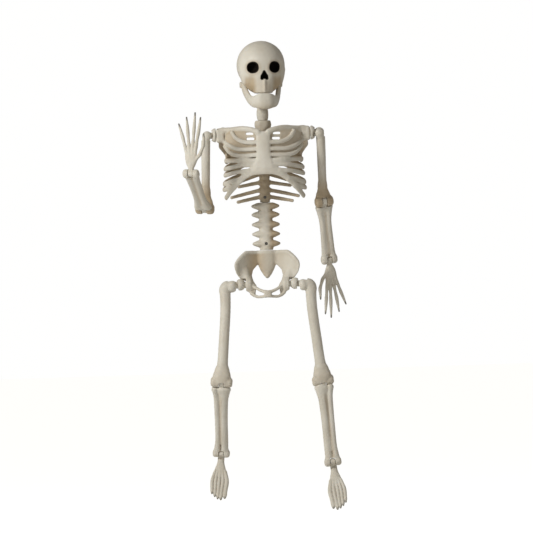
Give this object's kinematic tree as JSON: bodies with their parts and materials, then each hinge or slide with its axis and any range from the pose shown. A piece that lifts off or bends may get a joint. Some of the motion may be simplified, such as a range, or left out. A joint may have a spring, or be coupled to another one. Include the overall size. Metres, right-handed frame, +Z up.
{
  "type": "posable skeleton figure",
  "caption": "Posable hanging skeleton decoration in moulded plastic, jointed at neck, jaw, shoulders, elbows, wrists, hips, knees and ankles.",
  "frame": {"origin": "centre of the flat on the rear of the chest spine, where the figure is held", "axes": "+Z up towards the skull, -Y the way the figure faces, +X towards the figure's left"},
  "size_m": [0.3145, 0.2244, 0.8979],
  "materials": {
    "bone_plastic": "matt ivory moulded plastic with faint brown mottling, and black paint in the eye and nose sockets",
    "pin_steel": "plain dull steel pins and screws"
  },
  "bodies": {
    "torso": {"ribcage_front": "bone_plastic", "ribcage_back": "bone_plastic", "left_chest_screw": "pin_steel", "right_chest_screw": "pin_steel", "lumbar_spine": "bone_plastic", "upper_spine_screw": "pin_steel", "lower_spine_screw": "pin_steel", "pelvis": "bone_plastic"},
    "neck": {"neck": "bone_plastic"},
    "head": {"skull_face": "bone_plastic", "skull_back": "bone_plastic", "nod_pin": "pin_steel", "left_jaw_pin": "pin_steel", "right_jaw_pin": "pin_steel"},
    "jaw": {"jaw": "bone_plastic"},
    "left_shoulder": {"left_shoulder_knuckle": "bone_plastic"},
    "left_upper_arm": {"left_upper_arm": "bone_plastic", "left_shoulder_pin": "pin_steel", "left_elbow_pin": "pin_steel"},
    "left_forearm": {"left_forearm": "bone_plastic", "left_wrist_pin": "pin_steel"},
    "left_hand": {"left_hand": "bone_plastic"},
    "left_hip": {"left_hip_knuckle": "bone_plastic"},
    "left_thigh": {"left_thigh": "bone_plastic", "left_hip_pin": "pin_steel", "left_knee_pin": "pin_steel"},
    "left_shin": {"left_shin": "bone_plastic", "left_ankle_pin": "pin_steel"},
    "left_foot": {"left_foot": "bone_plastic"},
    "right_shoulder": {"right_shoulder_knuckle": "bone_plastic"},
    "right_upper_arm": {"right_upper_arm": "bone_plastic", "right_shoulder_pin": "pin_steel", "right_elbow_pin": "pin_steel"},
    "right_forearm": {"right_forearm": "bone_plastic", "right_wrist_pin": "pin_steel"},
    "right_hand": {"right_hand": "bone_plastic"},
    "right_hip": {"right_hip_knuckle": "bone_plastic"},
    "right_thigh": {"right_thigh": "bone_plastic", "right_hip_pin": "pin_steel", "right_knee_pin": "pin_steel"},
    "right_shin": {"right_shin": "bone_plastic", "right_ankle_pin": "pin_steel"},
    "right_foot": {"right_foot": "bone_plastic"}
  },
  "joints": [
    {"name": "neck_turn", "type": "hinge", "parent": "torso", "child": "neck", "pos_m": [0, -0.038, 0.094], "axis": [0, 0, 1], "range_deg": [-67, 53]},
    {"name": "neck_nod", "type": "hinge", "parent": "neck", "child": "head", "pos_m": [0, -0.038, 0.094], "axis": [0.9925, 0.1219, 0], "range_deg": [-15, 12]},
    {"name": "jaw_open", "type": "hinge", "parent": "head", "child": "jaw", "pos_m": [-0.00122, -0.02807, 0.124], "axis": [0.9925, 0.1219, 0], "range_deg": [0, 18]},
    {"name": "left_shoulder_swing", "type": "hinge", "parent": "torso", "child": "left_shoulder", "pos_m": [0.091, -0.05, 0.0275], "axis": [-1, 0, 0], "range_deg": [-24, 171]},
    {"name": "left_shoulder_lift", "type": "hinge", "parent": "left_shoulder", "child": "left_upper_arm", "pos_m": [0.108, -0.05, 0.0275], "axis": [0, -0.9336, -0.3584], "range_deg": [0, 83]},
    {"name": "left_elbow", "type": "hinge", "parent": "left_upper_arm", "child": "left_forearm", "pos_m": [0.11402, -0.0031, -0.1054], "axis": [-0.9607, -0.2453, -0.1301], "range_deg": [-5, 125]},
    {"name": "left_wrist", "type": "hinge", "parent": "left_forearm", "child": "left_hand", "pos_m": [0.12096, 0.02973, -0.21852], "axis": [-0.9607, -0.2453, -0.1301], "range_deg": [-50, 60]},
    {"name": "left_hip_swing", "type": "hinge", "parent": "torso", "child": "left_hip", "pos_m": [0.051, -0.05, -0.262], "axis": [-1, 0, 0], "range_deg": [-25, 80]},
    {"name": "left_hip_spread", "type": "hinge", "parent": "left_hip", "child": "left_thigh", "pos_m": [0.068, -0.05, -0.262], "axis": [0, -1, 0], "range_deg": [-7, 28]},
    {"name": "left_knee", "type": "hinge", "parent": "left_thigh", "child": "left_shin", "pos_m": [0.1009, -0.046, -0.45039], "axis": [0.9925, 0, 0.1219], "range_deg": [0, 115]},
    {"name": "left_ankle", "type": "hinge", "parent": "left_shin", "child": "left_foot", "pos_m": [0.1152, -0.046, -0.60783], "axis": [0.9925, 0, 0.1219], "range_deg": [-60, 12]},
    {"name": "right_shoulder_swing", "type": "hinge", "parent": "torso", "child": "right_shoulder", "pos_m": [-0.091, -0.05, 0.0275], "axis": [-1, 0, 0], "range_deg": [-45, 150]},
    {"name": "right_shoulder_lift", "type": "hinge", "parent": "right_shoulder", "child": "right_upper_arm", "pos_m": [-0.108, -0.05, 0.0275], "axis": [0, 1, 0], "range_deg": [-1, 82]},
    {"name": "right_elbow", "type": "hinge", "parent": "right_upper_arm", "child": "right_forearm", "pos_m": [-0.11648, -0.05384, -0.11325], "axis": [-0.9599, 0.2756, 0.0503], "range_deg": [-124, 6]},
    {"name": "right_wrist", "type": "hinge", "parent": "right_forearm", "child": "right_hand", "pos_m": [-0.13995, -0.14788, -0.04594], "axis": [-0.9599, 0.2756, 0.0503], "range_deg": [-106, 4]},
    {"name": "right_hip_swing", "type": "hinge", "parent": "torso", "child": "right_hip", "pos_m": [-0.051, -0.05, -0.262], "axis": [-1, 0, 0], "range_deg": [-38.5, 66.5]},
    {"name": "right_hip_spread", "type": "hinge", "parent": "right_hip", "child": "right_thigh", "pos_m": [-0.068, -0.05, -0.262], "axis": [0, 0.9724, -0.2334], "range_deg": [-5, 30]},
    {"name": "right_knee", "type": "hinge", "parent": "right_thigh", "child": "right_shin", "pos_m": [-0.09431, -0.09033, -0.44713], "axis": [0.9962, -0.0203, -0.0847], "range_deg": [-42, 73]},
    {"name": "right_ankle", "type": "hinge", "parent": "right_shin", "child": "right_foot", "pos_m": [-0.09956, -0.01494, -0.58597], "axis": [0.9962, -0.0203, -0.0847], "range_deg": [-29, 43]}
  ]
}
